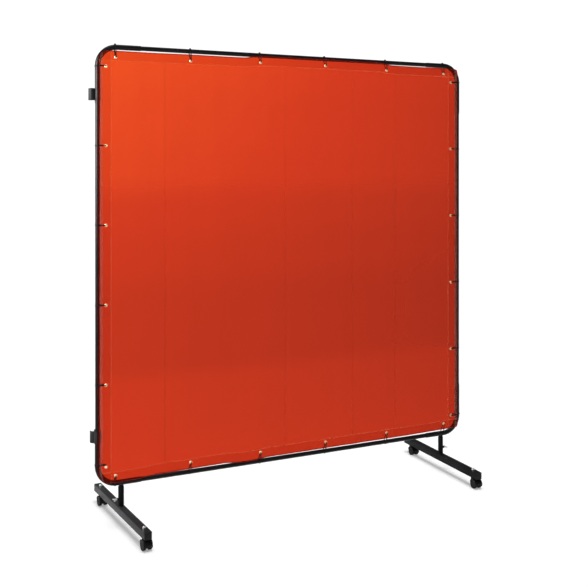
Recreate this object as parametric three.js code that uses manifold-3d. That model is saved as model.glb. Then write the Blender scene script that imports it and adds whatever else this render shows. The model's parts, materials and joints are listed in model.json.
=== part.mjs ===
// A welding curtain screen: a square of translucent PVC film, tied to a round-tube frame that stands
// on two castored feet. Two snap-on couplers on the left upright join it to the next screen.
// Millimetres, +Z up. +X runs along the screen, the film is on the -Y side of the tubes, and the
// origin is on the floor under the middle of the whole screen's box.
import * as THREE from "three";
import { mergeVertices } from "three/addons/utils/BufferGeometryUtils.js";
import Module from "manifold-3d";

const wasm = await Module();
wasm.setup();

// ---- Driving dimensions -------------------------------------------------------------------------

const fitGap = 0.3; // between pieces that touch, seat on or pass through each other

// Frame of round tube: four bends, and four straight tubes that plug into them
const frameWidth = 1792; // over the outside of the uprights
const frameHeight = 1800; // over the outside of the rails
const groundGap = 162; // floor to the underside of the bottom rail
const bendTubeOd = 22;
const bendTubeWall = 1.2;
const bendRadius = 79; // of the tube's centre line
const uprightArm = 240; // outside corner to a bend's open end, along the upright
const railArm = 190; // the same, along the rail
const straightTubeWall = 1.5;
const plugDepth = 40; // how far a straight tube reaches into a bend

// Curtain of PVC film, in front of the tubes
const curtainLeftInset = 6; // outside of the frame to the film's edge
const curtainRightInset = 18;
const curtainTopInset = 22;
const curtainBottomInset = 31;
const curtainThickness = 1;
const curtainClearance = 0.7; // front of the couplers to the back of the film

// Couplers that snap round the left upright and hold the next screen's tube
const couplerHeight = 48;
const couplerWall = 3;
const couplerTubeGap = 4; // between the two tubes that it holds
const couplerMouth = 96; // degrees that each jaw is open
const couplerEndGap = 10; // from a bend's open end
const lowerCouplerTurn = 65; // degrees that the lower coupler is turned to the back

// Legs and feet
const legInset = 108; // outside of the frame to a leg's axis
const footLength = 625; // over the end caps
const footTubeSize = 30;
const footTubeWall = 1.5;
const footToeIn = { left: 3.6, right: 1.6 }; // degrees that the feet turn towards each other at the front
const capThickness = 3;
const capPlugDepth = 12;
const socketRailGap = 6; // top of a socket to the underside of the bottom rail
const socketWall = 2;

// Wing bolts that clamp the legs in their sockets
const boltDiameter = 6;
const boltRise = 30; // above the foot tube
const weldNutFlats = 10;
const weldNutThickness = 5;
const wingHubDiameter = 11;
const wingHubLength = 7;
const wingLength = 13; // from the middle of the hub to the centre of a wing's round tip
const wingAngle = 50; // degrees between a wing and the bolt
const wingThickness = 3;
const wingTipRadius = 4;

// Twin-wheel castors
const wheelDiameter = 40;
const wheelWidth = 12;
const wheelSpacing = 13; // between the two wheels' inner faces
const wheelEdge = 1.5; // chamfer of the tread
const wheelDishDiameter = 25;
const wheelDishDepth = 1;
const hoodHeadroom = 2.2; // top of a hood to the foot tube
const castorTrail = 22; // swivel axis to the axle
const castorInset = 45; // end of the foot to the swivel axis
const axleDiameter = 6;
const axlePocket = 9.5; // depth of the axle's pocket in a wheel
const hoodGap = 0.8; // wheel to hood
const hoodShell = 2;
const hoodStart = 15; // degrees, from the swivel side, up and over
const hoodEnd = 195;
const hoodHub = 9; // radius round the axle
const hoodBoss = 9; // radius round the stem
const hoodBossHeight = 5;
const stemDiameter = 8;
const stemSeat = 19; // how far the stem reaches down into the hood
const stemCollarDiameter = 16;
const stemCollarHeight = 2.7;
const stemEnd = 2.2; // beyond the nut
const nutFlats = 13;
const nutHeight = 6.5;

// Numbers of flat facets
const tubeArcSteps = 10; // steps in half a turn of a tube's section
const bendSteps = 10; // steps along a bend
const boreArcSteps = 8;
const wheelSides = 20;

// ---- Dimensions that follow ---------------------------------------------------------------------

const bendTubeRadius = bendTubeOd / 2;
const bendBoreRadius = bendTubeRadius - bendTubeWall;
const straightTubeRadius = bendBoreRadius - fitGap;
const uprightX = frameWidth / 2 - bendTubeRadius;
const railZ = frameHeight / 2 - bendTubeRadius;
const frameMiddleZ = groundGap + frameHeight / 2;
const legX = frameWidth / 2 - legInset;
const castorHeight = wheelDiameter + hoodGap + hoodShell + hoodHeadroom; // floor to the foot tube
const footTopZ = castorHeight + footTubeSize;
const socketHeight = groundGap - socketRailGap - footTopZ; // above the foot tube
const socketBoreRadius = straightTubeRadius + fitGap;
const socketRadius = socketBoreRadius + socketWall;
const wheelRadius = wheelDiameter / 2;
const axleRadius = axleDiameter / 2;
const stemRadius = stemDiameter / 2;
const boltRadius = boltDiameter / 2;

// ---- Materials ----------------------------------------------------------------------------------

function material(color, roughness, metalness, opacity = 1) {
  return new THREE.MeshStandardMaterial({
    color,
    roughness,
    metalness,
    opacity,
    transparent: opacity < 1,
  });
}

const framePaint = material(0x1a1a1c, 0.35, 0.3);
const footPaint = material(0x3b3b3e, 0.5, 0.3);
const film = material(0xd6431f, 0.3, 0, 0.85);
const nylon = material(0x1c1c1c, 0.6, 0);
const wheelPlastic = material(0x232325, 0.5, 0);
const zinc = material(0xc9ccd0, 0.3, 1);

// ---- Shapes and solids --------------------------------------------------------------------------

// A closed three.js geometry as a manifold solid.
function toSolid(geometry) {
  const bare = geometry.clone();
  bare.deleteAttribute("normal");
  bare.deleteAttribute("uv");
  const merged = mergeVertices(bare, 1e-4);
  const vertProperties = new Float32Array(merged.attributes.position.array);
  const triVerts = new Uint32Array(merged.index.array);
  return new wasm.Manifold(new wasm.Mesh({ numProp: 3, vertProperties, triVerts }));
}

function toGeometry(solid) {
  const mesh = solid.getMesh();
  const geometry = new THREE.BufferGeometry();
  geometry.setAttribute("position", new THREE.BufferAttribute(mesh.vertProperties, 3));
  geometry.setIndex(new THREE.BufferAttribute(mesh.triVerts, 1));
  geometry.computeVertexNormals();
  return geometry;
}

// The first list's geometries joined, less the second list's.
function carve(joined, cuts) {
  let solid = toSolid(joined[0]);
  for (const geometry of joined.slice(1)) {
    solid = solid.add(toSolid(geometry));
  }
  for (const geometry of cuts) {
    solid = solid.subtract(toSolid(geometry));
  }
  return toGeometry(solid);
}

function circle(radius) {
  return new THREE.Shape().absarc(0, 0, radius, 0, 2 * Math.PI);
}

function ring(outerRadius, innerRadius) {
  const shape = circle(outerRadius);
  shape.holes.push(circle(innerRadius));
  return shape;
}

function rectangle(width, height) {
  const x = width / 2;
  const y = height / 2;
  return new THREE.Shape([[-x, -y], [x, -y], [x, y], [-x, y]].map((p) => new THREE.Vector2(...p)));
}

function hexagon(acrossFlats) {
  const points = [];
  for (let corner = 0; corner < 6; corner += 1) {
    const angle = (corner * Math.PI) / 3;
    const reach = acrossFlats / Math.sqrt(3);
    points.push(new THREE.Vector2(reach * Math.cos(angle), reach * Math.sin(angle)));
  }
  return new THREE.Shape(points);
}

// A strip with round ends, from the origin along +X.
function stadium(length, radius) {
  const shape = new THREE.Shape().absarc(0, 0, radius, Math.PI / 2, (3 * Math.PI) / 2);
  return shape.absarc(length, 0, radius, -Math.PI / 2, Math.PI / 2);
}

// A shape extruded along +Z from one height to another.
function prism(shape, from, to, curveSegments = boreArcSteps) {
  const options = { depth: to - from, bevelEnabled: false, curveSegments };
  return new THREE.ExtrudeGeometry(shape, options).translate(0, 0, from);
}

// A prism turned so that it runs along +X, with the shape's x along +Y and its y along +Z.
function prismAlongX(shape, from, to, curveSegments = boreArcSteps) {
  return prism(shape, from, to, curveSegments).rotateX(Math.PI / 2).rotateZ(Math.PI / 2);
}

// A prism turned so that it runs along +Y, with the shape's x along -X and its y along +Z.
function prismAlongY(shape, from, to, curveSegments = boreArcSteps) {
  return prismAlongX(shape, from, to, curveSegments).rotateZ(Math.PI / 2);
}

function addPart(parent, name, geometry, partMaterial) {
  const mesh = new THREE.Mesh(geometry, partMaterial);
  mesh.name = name;
  parent.add(mesh);
  return mesh;
}

// ---- Frame --------------------------------------------------------------------------------------

// Centre line of the top right bend, from the upright's open end to the rail's: one step along each
// straight arm and bendSteps round the corner.
class BendPath extends THREE.Curve {
  cornerAngle(t) {
    const turned = (t * (bendSteps + 2) - 1) / bendSteps;
    return (THREE.MathUtils.clamp(turned, 0, 1) * Math.PI) / 2;
  }

  getPoint(t) {
    const angle = this.cornerAngle(t);
    const x = uprightX - bendRadius + bendRadius * Math.cos(angle);
    const z = railZ - bendRadius + bendRadius * Math.sin(angle);
    const step = t * (bendSteps + 2);
    const below = Math.max(0, 1 - step) * (uprightArm - bendTubeRadius - bendRadius);
    const beyond = Math.max(0, step - bendSteps - 1) * (railArm - bendTubeRadius - bendRadius);
    return new THREE.Vector3(x - beyond, 0, z - below);
  }

  getTangent(t) {
    const angle = this.cornerAngle(t);
    return new THREE.Vector3(-Math.sin(angle), 0, Math.cos(angle));
  }

  getUtoTmapping(u) {
    return u;
  }
}

function addBends(parent) {
  const section = ring(bendTubeRadius, bendBoreRadius);
  const options = { steps: bendSteps + 2, extrudePath: new BendPath(), curveSegments: tubeArcSteps };
  const corners = { top_right: [0, 0], top_left: [0, 1], bottom_right: [1, 0], bottom_left: [1, 1] };
  for (const [corner, [upsideDown, mirrored]] of Object.entries(corners)) {
    const geometry = new THREE.ExtrudeGeometry(section, options);
    const bend = addPart(parent, `${corner}_bend`, geometry, framePaint);
    bend.rotation.set(upsideDown * Math.PI, 0, mirrored * Math.PI);
  }
}

function addStraightTubes(parent) {
  const section = ring(straightTubeRadius, straightTubeRadius - straightTubeWall);
  const railEnd = frameWidth / 2 - railArm + plugDepth;
  const uprightEnd = frameHeight / 2 - uprightArm + plugDepth;
  const rail = prismAlongX(section, -railEnd, railEnd, tubeArcSteps);
  const upright = prism(section, -uprightEnd, uprightEnd, tubeArcSteps);
  addPart(parent, "top_rail", rail.clone(), framePaint).position.z = railZ;
  addPart(parent, "bottom_rail", rail.clone(), framePaint).position.z = -railZ;
  addPart(parent, "left_upright", upright.clone(), framePaint).position.x = -uprightX;
  addPart(parent, "right_upright", upright.clone(), framePaint).position.x = uprightX;
}

// A leg stands on the foot tube, inside the socket, and is saddled to the bottom bend above it.
function legGeometry() {
  const section = ring(straightTubeRadius, straightTubeRadius - straightTubeWall);
  const bendZ = groundGap + bendTubeRadius;
  const leg = prism(section, footTopZ + fitGap, bendZ, tubeArcSteps);
  const bendCut = prismAlongX(circle(bendTubeRadius + fitGap), -bendTubeOd, bendTubeOd, tubeArcSteps);
  return carve([leg], [bendCut.translate(0, 0, bendZ)]);
}

// ---- Curtain ------------------------------------------------------------------------------------

function addCurtain(parent) {
  const width = frameWidth - curtainLeftInset - curtainRightInset;
  const height = frameHeight - curtainTopInset - curtainBottomInset;
  const couplerFront = bendTubeRadius + fitGap + couplerWall;
  const front = couplerFront + curtainClearance + curtainThickness;
  const sheet = prismAlongY(rectangle(width, height), -front, curtainThickness - front);
  const curtain = addPart(parent, "curtain", sheet, film);
  curtain.position.x = (curtainLeftInset - curtainRightInset) / 2;
  curtain.position.z = (curtainBottomInset - curtainTopInset) / 2;
}

// ---- Couplers -----------------------------------------------------------------------------------

// Two open jaws back to back. One clasps the upright, at the origin, and the other, on the -X side,
// clasps the next screen's tube.
function couplerGeometry() {
  const boreRadius = bendTubeRadius + fitGap;
  const jawRadius = boreRadius + couplerWall;
  const pitch = bendTubeOd + couplerTubeGap;
  const halfMouth = THREE.MathUtils.degToRad(couplerMouth / 2);
  const reach = 2 * jawRadius;
  const mouth = new THREE.Shape([
    new THREE.Vector2(0, 0),
    new THREE.Vector2(reach * Math.cos(halfMouth), -reach * Math.sin(halfMouth)),
    new THREE.Vector2(reach * Math.cos(halfMouth), reach * Math.sin(halfMouth)),
  ]);
  const past = couplerHeight / 2 + 1;
  const jaw = prism(circle(jawRadius), -couplerHeight / 2, couplerHeight / 2, tubeArcSteps);
  const bore = prism(circle(boreRadius), -past, past, tubeArcSteps);
  const opening = prism(mouth, -past, past);
  const nextOpening = opening.clone().rotateZ(Math.PI);
  const cuts = [bore, opening, bore.clone().translate(-pitch, 0, 0), nextOpening.translate(-pitch, 0, 0)];
  return carve([jaw, jaw.clone().translate(-pitch, 0, 0)], cuts);
}

function addCouplers(parent) {
  const middle = frameHeight / 2 - uprightArm + couplerEndGap + couplerHeight / 2;
  const upper = addPart(parent, "upper_coupler", couplerGeometry(), nylon);
  upper.position.set(-uprightX, 0, middle);
  const lower = addPart(parent, "lower_coupler", couplerGeometry(), nylon);
  lower.position.set(-uprightX, 0, -middle);
  lower.rotation.z = -THREE.MathUtils.degToRad(lowerCouplerTurn);
}

// ---- Castors ------------------------------------------------------------------------------------

// The hood, about the swivel axis: a shell over both wheels, a web between them that carries the
// axle, and a boss for the stem.
function hoodGeometry() {
  const start = THREE.MathUtils.degToRad(hoodStart);
  const end = THREE.MathUtils.degToRad(hoodEnd);
  const inner = wheelRadius + hoodGap;
  const outer = inner + hoodShell;
  const halfWeb = wheelSpacing / 2 - fitGap;
  const halfWidth = wheelSpacing / 2 + wheelWidth + fitGap;
  const top = castorHeight - stemCollarHeight - 2 * fitGap;

  const shell = new THREE.Shape().absarc(0, 0, outer, start, end);
  shell.absarc(0, 0, inner, end, start, true);
  const web = new THREE.Shape().absarc(0, 0, inner + hoodShell / 2, start, end);
  web.absarc(0, 0, hoodHub, end, start + 2 * Math.PI);
  const atAxle = (geometry) => geometry.translate(0, -castorTrail, wheelRadius);

  const neckDepth = hoodBoss + castorTrail - inner;
  const neckHeight = top - wheelRadius;
  const neck = prism(rectangle(2 * halfWeb, neckDepth), wheelRadius, top);
  const boss = prism(circle(hoodBoss), top - hoodBossHeight, top, tubeArcSteps);
  const stemBore = prism(circle(stemRadius + fitGap), top - stemSeat - fitGap, top + 1);
  const axleBore = prismAlongX(circle(axleRadius + fitGap), -halfWidth, halfWidth);
  return carve(
    [
      atAxle(prismAlongX(shell, -halfWidth, halfWidth, tubeArcSteps)),
      atAxle(prismAlongX(web, -halfWeb, halfWeb, tubeArcSteps)),
      neck.translate(0, hoodBoss - neckDepth / 2, 0),
      boss,
    ],
    [stemBore, atAxle(axleBore)],
  );
}

// A wheel that turns on the axle's end, about the X axis, with its inner face at x = 0.
function wheelGeometry() {
  const dish = wheelDishDiameter / 2;
  const bore = axleRadius + fitGap;
  const profile = [
    [0, axlePocket],
    [bore, axlePocket],
    [bore, 0],
    [wheelRadius - wheelEdge, 0],
    [wheelRadius, wheelEdge],
    [wheelRadius, wheelWidth - wheelEdge],
    [wheelRadius - wheelEdge, wheelWidth],
    [dish, wheelWidth],
    [dish - wheelDishDepth, wheelWidth - wheelDishDepth],
    [0, wheelWidth - wheelDishDepth],
  ].map(([radius, along]) => new THREE.Vector2(radius, along));
  return new THREE.LatheGeometry(profile, wheelSides).rotateZ(-Math.PI / 2);
}

// The stem stands in the hood, passes through the foot tube and ends in the nut on top.
function stemGeometry() {
  const collarTop = castorHeight - fitGap;
  const collarBase = collarTop - stemCollarHeight;
  const hoodTop = collarBase - fitGap;
  const stemTop = footTopZ + fitGap + nutHeight + stemEnd;
  const collarRadius = stemCollarDiameter / 2;
  const profile = [
    [0, hoodTop - stemSeat],
    [stemRadius, hoodTop - stemSeat],
    [stemRadius, collarBase],
    [collarRadius, collarBase],
    [collarRadius, collarTop],
    [stemRadius, collarTop],
    [stemRadius, stemTop],
    [0, stemTop],
  ].map(([radius, height]) => new THREE.Vector2(radius, height));
  return new THREE.LatheGeometry(profile, 2 * boreArcSteps).rotateX(Math.PI / 2);
}

function nutGeometry() {
  const shape = hexagon(nutFlats);
  shape.holes.push(circle(stemRadius + fitGap));
  return prism(shape, footTopZ + fitGap, footTopZ + fitGap + nutHeight);
}

function addCastor(parent, name, y) {
  const castor = new THREE.Group();
  castor.position.y = y;
  parent.add(castor);
  const axleEnd = wheelSpacing / 2 + axlePocket - fitGap;
  const innerFace = wheelSpacing / 2;
  const axle = prismAlongX(circle(axleRadius), -axleEnd, axleEnd);
  addPart(castor, `${name}_stem`, stemGeometry(), zinc);
  addPart(castor, `${name}_nut`, nutGeometry(), zinc);
  addPart(castor, `${name}_hood`, hoodGeometry(), nylon);
  addPart(castor, `${name}_axle`, axle, zinc).position.set(0, -castorTrail, wheelRadius);
  for (const [side, direction] of [["left", -1], ["right", 1]]) {
    const wheel = addPart(castor, `${name}_${side}_wheel`, wheelGeometry(), wheelPlastic);
    wheel.position.set(direction * innerFace, -castorTrail, wheelRadius);
    wheel.rotation.z = direction > 0 ? 0 : Math.PI;
  }
}

// ---- Feet ---------------------------------------------------------------------------------------

function footTubeGeometry() {
  const end = footLength / 2 - capThickness - fitGap;
  const section = rectangle(footTubeSize, footTubeSize);
  const bore = footTubeSize - 2 * footTubeWall;
  section.holes.push(rectangle(bore, bore));
  const tube = prismAlongY(section, -end, end).translate(0, 0, castorHeight + footTubeSize / 2);
  const stemHole = prism(circle(stemRadius + fitGap), castorHeight - 1, footTopZ + 1);
  const swivelY = footLength / 2 - castorInset;
  const holes = [-swivelY, swivelY].map((y) => stemHole.clone().translate(0, y, 0));
  return carve([tube], holes);
}

// An end cap for the foot's +Y end.
function capGeometry() {
  const end = footLength / 2;
  const plugSize = footTubeSize - 2 * footTubeWall - 2 * fitGap;
  const plugStart = end - capThickness - capPlugDepth;
  const plate = prismAlongY(rectangle(footTubeSize, footTubeSize), end - capThickness, end);
  const plug = prismAlongY(rectangle(plugSize, plugSize), plugStart, end - capThickness / 2);
  return carve([plate, plug], []).translate(0, 0, castorHeight + footTubeSize / 2);
}

function socketGeometry() {
  const tube = prism(
    ring(socketRadius, socketBoreRadius),
    footTopZ + fitGap,
    footTopZ + socketHeight,
    tubeArcSteps,
  );
  const boltHole = prismAlongX(circle(boltRadius + fitGap), 0, 2 * socketRadius);
  return carve([tube], [boltHole.translate(0, 0, footTopZ + boltRise)]);
}

function weldNutGeometry() {
  const shape = hexagon(weldNutFlats);
  shape.holes.push(circle(boltRadius + fitGap));
  const start = socketBoreRadius;
  const nut = prismAlongX(shape, start, socketRadius + weldNutThickness);
  const tube = prism(circle(socketRadius + fitGap), -socketHeight, socketHeight, tubeArcSteps);
  return carve([nut], [tube]).translate(0, 0, footTopZ + boltRise);
}

// A wing bolt along +X: its shank ends against the leg, and its wings stand beyond the weld nut.
function wingBoltGeometry() {
  const tip = straightTubeRadius + fitGap;
  const hubStart = socketRadius + weldNutThickness + 1;
  const hubEnd = hubStart + wingHubLength;
  const shank = prismAlongX(circle(boltRadius), tip, hubEnd - 1);
  const hub = prismAlongX(circle(wingHubDiameter / 2), hubStart, hubEnd);
  const wings = [-wingAngle, wingAngle].map((angle) =>
    prism(stadium(wingLength, wingTipRadius), -wingThickness / 2, wingThickness / 2)
      .rotateZ(THREE.MathUtils.degToRad(angle))
      .translate((hubStart + hubEnd) / 2, 0, 0),
  );
  return carve([shank, hub, ...wings], []);
}

// A foot about its leg's axis. Its wing bolt is on the outward side, -1 for -X and 1 for +X.
function addFoot(parent, side, outward) {
  const foot = new THREE.Group();
  foot.position.x = outward * legX;
  foot.rotation.z = -outward * THREE.MathUtils.degToRad(footToeIn[side]);
  parent.add(foot);
  const outwardTurn = outward > 0 ? 0 : Math.PI;
  addPart(foot, `${side}_foot_tube`, footTubeGeometry(), footPaint);
  addPart(foot, `${side}_front_cap`, capGeometry(), nylon).rotation.z = Math.PI;
  addPart(foot, `${side}_rear_cap`, capGeometry(), nylon);
  addPart(foot, `${side}_leg_socket`, socketGeometry(), footPaint).rotation.z = outwardTurn;
  addPart(foot, `${side}_weld_nut`, weldNutGeometry(), footPaint).rotation.z = outwardTurn;
  const wingBolt = addPart(foot, `${side}_wing_bolt`, wingBoltGeometry(), zinc);
  wingBolt.position.z = footTopZ + boltRise;
  wingBolt.rotation.z = outwardTurn;
  const swivelY = footLength / 2 - castorInset;
  addCastor(foot, `${side}_front_castor`, -swivelY);
  addCastor(foot, `${side}_rear_castor`, swivelY);
}

// ---- Screen -------------------------------------------------------------------------------------

const screen = new THREE.Group();
const frame = new THREE.Group();
frame.position.z = frameMiddleZ;
screen.add(frame);
addBends(frame);
addStraightTubes(frame);
addCurtain(frame);
addCouplers(frame);
for (const [side, outward] of [["left", -1], ["right", 1]]) {
  addPart(screen, `${side}_leg`, legGeometry(), framePaint).position.x = outward * legX;
  addFoot(screen, side, outward);
}

// The origin goes under the middle of the whole box.
screen.updateMatrixWorld(true);
const middle = new THREE.Box3().setFromObject(screen, true).getCenter(new THREE.Vector3());
screen.position.set(-middle.x, -middle.y, 0);

export default screen;
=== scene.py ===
# A welding curtain screen, dressed for rendering: fine tubes, film, eyelets, ties and materials on the
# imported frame. Metres, +Z up, the film on the -Y side of the tubes.
import json
import math
import random

import bmesh
import bpy
from mathutils import Matrix, Vector, noise


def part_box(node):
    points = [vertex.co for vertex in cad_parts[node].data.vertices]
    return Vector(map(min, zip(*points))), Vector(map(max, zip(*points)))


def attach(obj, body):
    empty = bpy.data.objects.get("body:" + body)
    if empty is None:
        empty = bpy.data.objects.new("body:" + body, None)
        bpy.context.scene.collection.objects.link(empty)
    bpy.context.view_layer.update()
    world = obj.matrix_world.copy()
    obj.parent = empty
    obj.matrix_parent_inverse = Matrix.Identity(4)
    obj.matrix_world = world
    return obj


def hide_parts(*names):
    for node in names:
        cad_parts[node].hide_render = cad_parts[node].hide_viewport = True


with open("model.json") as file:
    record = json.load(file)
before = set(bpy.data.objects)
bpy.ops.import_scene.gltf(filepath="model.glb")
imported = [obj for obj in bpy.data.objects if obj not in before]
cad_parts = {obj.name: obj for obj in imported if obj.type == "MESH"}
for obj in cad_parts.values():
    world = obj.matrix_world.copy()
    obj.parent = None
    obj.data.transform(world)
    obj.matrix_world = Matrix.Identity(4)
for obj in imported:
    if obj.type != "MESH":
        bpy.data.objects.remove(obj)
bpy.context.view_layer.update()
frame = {"nodes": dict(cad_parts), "record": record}

MM = 0.001
NODES = frame["nodes"]
BODY_OF = {node: body for body, nodes in frame["record"]["behaviour"]["bodies"].items() for node in nodes}
SIDES = ("left", "right")
CASTORS = [f"{side}_{end}_castor" for side in SIDES for end in ("front", "rear")]
BENDS = [f"{end}_{side}_bend" for end in ("top", "bottom") for side in SIDES]
STRAIGHTS = ["top_rail", "bottom_rail", "left_upright", "right_upright"]

# ---- Places, all worked out from the frame ------------------------------------------------------

RAIL_LOW, RAIL_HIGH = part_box("top_rail")
FRAME_LOW, FRAME_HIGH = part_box("bottom_left_bend")[0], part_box("top_right_bend")[1]
MIDDLE_X = (RAIL_LOW.x + RAIL_HIGH.x) / 2
MIDDLE_Z = (FRAME_LOW.z + FRAME_HIGH.z) / 2
TUBE_Y = (RAIL_LOW.y + RAIL_HIGH.y) / 2
STRAIGHT_RADIUS = (RAIL_HIGH.z - RAIL_LOW.z) / 2
BEND_RADIUS = (FRAME_HIGH.y - FRAME_LOW.y) / 2
FILM_LOW, FILM_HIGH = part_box("curtain")
FILM_Y = (FILM_LOW.y + FILM_HIGH.y) / 2

CORNER_RADIUS = 79 * MM  # of the bends' centre line
BEND_REACH = BEND_RADIUS + CORNER_RADIUS  # outside of a bend to the centre of its arc
BEND_WALL = 1.2 * MM
STRAIGHT_WALL = 1.5 * MM

# Eyelets and ties. Insets are from the film's nearest edge, ends are along the row from the film's corners.
EYELETS_PER_SIDE = 6
EYELET_INSET = {"top": 28 * MM, "bottom": 27 * MM, "left": 36 * MM, "right": 40 * MM}
EYELET_END = {"top": 68 * MM, "bottom": 64 * MM, "left": 76 * MM, "right": 82 * MM}
EYELET_HOLE = 3.2 * MM  # radius cut in the film
EYELET_BORE = 2.8 * MM  # radius through the barrel
SIDE_HEM = 56 * MM
LEVEL_HEM = 41 * MM
TIE_WIDTH = 4.4 * MM
TIE_THICKNESS = 1.3 * MM


# ---- Mesh helpers -------------------------------------------------------------------------------

ON_AXIS = 1e-7  # a smaller radius counts as a point on a lathe's axis
RIM_EASE = 0.35 * MM  # at the ends of a tube
BEVEL_ANGLE = 50  # degrees; a sharper edge is bevelled


def new_piece(name, verts, faces, material, smooth_angle=35):
    mesh = bpy.data.meshes.new(name)
    mesh.from_pydata([tuple(v) for v in verts], [], faces)
    mesh.validate()
    mesh.materials.append(material)
    piece = bpy.data.objects.new(name, mesh)
    bpy.context.scene.collection.objects.link(piece)
    tidy_normals(mesh)
    shade(mesh, smooth_angle)
    return piece


def tidy_normals(mesh):
    work = bmesh.new()
    work.from_mesh(mesh)
    bmesh.ops.recalc_face_normals(work, faces=work.faces)
    work.to_mesh(mesh)
    work.free()


def shade(mesh, smooth_angle):
    mesh.shade_smooth()
    mesh.set_sharp_from_angle(angle=math.radians(smooth_angle))


def place(piece, body):
    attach(piece, body)
    return piece


def middle_of(node):
    low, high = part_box(node)
    return (low + high) / 2


def stand_for(piece, node):
    """The piece takes the place of a CAD node, on the same body."""
    place(piece, BODY_OF[node])
    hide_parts(node)
    return piece


def add_bevel(piece, width, segments):
    bevel = piece.modifiers.new("edges", "BEVEL")
    bevel.width = width
    bevel.segments = segments
    bevel.limit_method = "ANGLE"
    bevel.angle_limit = math.radians(BEVEL_ANGLE)


def rings_to_faces(ring_count, per_ring):
    """Faces between rings of vertices, from the last ring back to the first as well."""
    faces = []
    for ring in range(ring_count):
        here = ring * per_ring
        ahead = (ring + 1) % ring_count * per_ring
        for k in range(per_ring):
            m = (k + 1) % per_ring
            faces.append((here + k, here + m, ahead + m, ahead + k))
    return faces


def lathe(profile, sides, place_at):
    """Turns a profile of (radius, height) about the Z axis of place_at. The profile closes on itself, or
    starts and ends on the axis."""
    verts = []
    faces = []
    index = []
    for radius, height in profile:
        if radius < ON_AXIS:
            index.append([len(verts)] * sides)
            verts.append(place_at @ Vector((0, 0, height)))
            continue
        index.append(list(range(len(verts), len(verts) + sides)))
        for k in range(sides):
            angle = 2 * math.pi * k / sides
            verts.append(place_at @ Vector((radius * math.cos(angle), radius * math.sin(angle), height)))
    closed = profile[0][0] > ON_AXIS
    for p in range(len(profile) if closed else len(profile) - 1):
        low, high = index[p], index[(p + 1) % len(profile)]
        for k in range(sides):
            m = (k + 1) % sides
            corners = [low[k], low[m], high[m], high[k]]
            face = [c for n, c in enumerate(corners) if c not in corners[:n]]
            if len(face) > 2:
                faces.append(tuple(face))
    return verts, faces


def pipe_wall(path, outer, wall, sides=40):
    """A hollow tube with eased rims, along (point, tangent) pairs in a plane of constant Y."""
    across = Vector((0, 1, 0))
    verts = []

    def add_ring(point, tangent, radius):
        out = tangent.cross(across).normalized()
        for k in range(sides):
            angle = 2 * math.pi * k / sides
            verts.append(point + radius * (math.cos(angle) * out + math.sin(angle) * across))

    start, end = path[0], path[-1]
    add_ring(start[0], start[1], outer - RIM_EASE)
    add_ring(start[0] + start[1] * RIM_EASE, start[1], outer)
    for point, tangent in path[1:-1]:
        add_ring(point, tangent, outer)
    add_ring(end[0] - end[1] * RIM_EASE, end[1], outer)
    add_ring(end[0], end[1], outer - RIM_EASE)
    for point, tangent in reversed(path):
        add_ring(point, tangent, outer - wall)
    return verts, rings_to_faces(2 * len(path) + 2, sides)


def strap_loop(points, width_axis, width, thickness):
    """A closed loop of flat strap with eased edges through the points, its width along width_axis."""
    half_w, half_t = width / 2, thickness / 2
    ease = 0.3 * thickness
    section = [(half_w, half_t - ease), (half_w - ease, half_t),
               (-half_w + ease, half_t), (-half_w, half_t - ease),
               (-half_w, -half_t + ease), (-half_w + ease, -half_t),
               (half_w - ease, -half_t), (half_w, -half_t + ease)]
    verts = []
    for n, point in enumerate(points):
        along = points[(n + 1) % len(points)] - points[n - 1]
        out = along.normalized().cross(width_axis).normalized()
        verts += [point + u * width_axis + v * out for u, v in section]
    return verts, rings_to_faces(len(points), len(section))


def smooth_loop(points, steps):
    """A closed Catmull-Rom curve through the points."""
    count = len(points)
    result = []
    for n in range(count):
        a, b, c, d = (points[(n + k) % count] for k in (-1, 0, 1, 2))
        for step in range(steps):
            t = step / steps
            result.append(0.5 * (2 * b + (c - a) * t + (2 * a - 5 * b + 4 * c - d) * t * t
                                 + (3 * b - a - 3 * c + d) * t * t * t))
    return result


def box_mesh(size, at):
    verts = []
    for x in (-1, 1):
        for y in (-1, 1):
            for z in (-1, 1):
                verts.append(at @ Vector((x * size[0] / 2, y * size[1] / 2, z * size[2] / 2)))
    faces = [(0, 1, 3, 2), (4, 6, 7, 5), (0, 4, 5, 1), (2, 3, 7, 6), (0, 2, 6, 4), (1, 5, 7, 3)]
    return verts, faces


def joined(*meshes):
    verts, faces = [], []
    for more_verts, more_faces in meshes:
        shift = len(verts)
        verts += more_verts
        faces += [tuple(c + shift for c in face) for face in more_faces]
    return verts, faces


# ---- Materials ----------------------------------------------------------------------------------

FILM_RED = (1.0, 0.067, 0.018, 1)
FILM_ORANGE = (1.0, 0.1, 0.018, 1)
FILM_DEEP = (0.0, 0.0, 0.006, 1)
FILM_BODY_PALE = (0.5, 0.03, 0.015, 1)
FILM_BODY_DEEP = (0.18, 0.012, 0.008, 1)
# Painted light and shade: how pale the film is by height: (share of its height, paleness), then factors on
# that for its two edges
FILM_PAINTED_LIGHT = ((0.0, 0.78), (0.13, 0.74), (0.2, 0.73), (0.26, 0.645), (0.4, 0.65),
             (0.52, 0.72), (0.62, 0.78), (0.72, 0.9), (0.84, 0.94), (1.0, 0.94))
FILM_LEFT_PAINTED_LIGHT = (0.91, 1.0)  # at the foot and the head of the left edge
FILM_RIGHT_PAINTED_LIGHT = (0.67, 0.57)  # and of the right edge
MOULD_GRAIN = 900.0  # scale of the texture on moulded plastic


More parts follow.
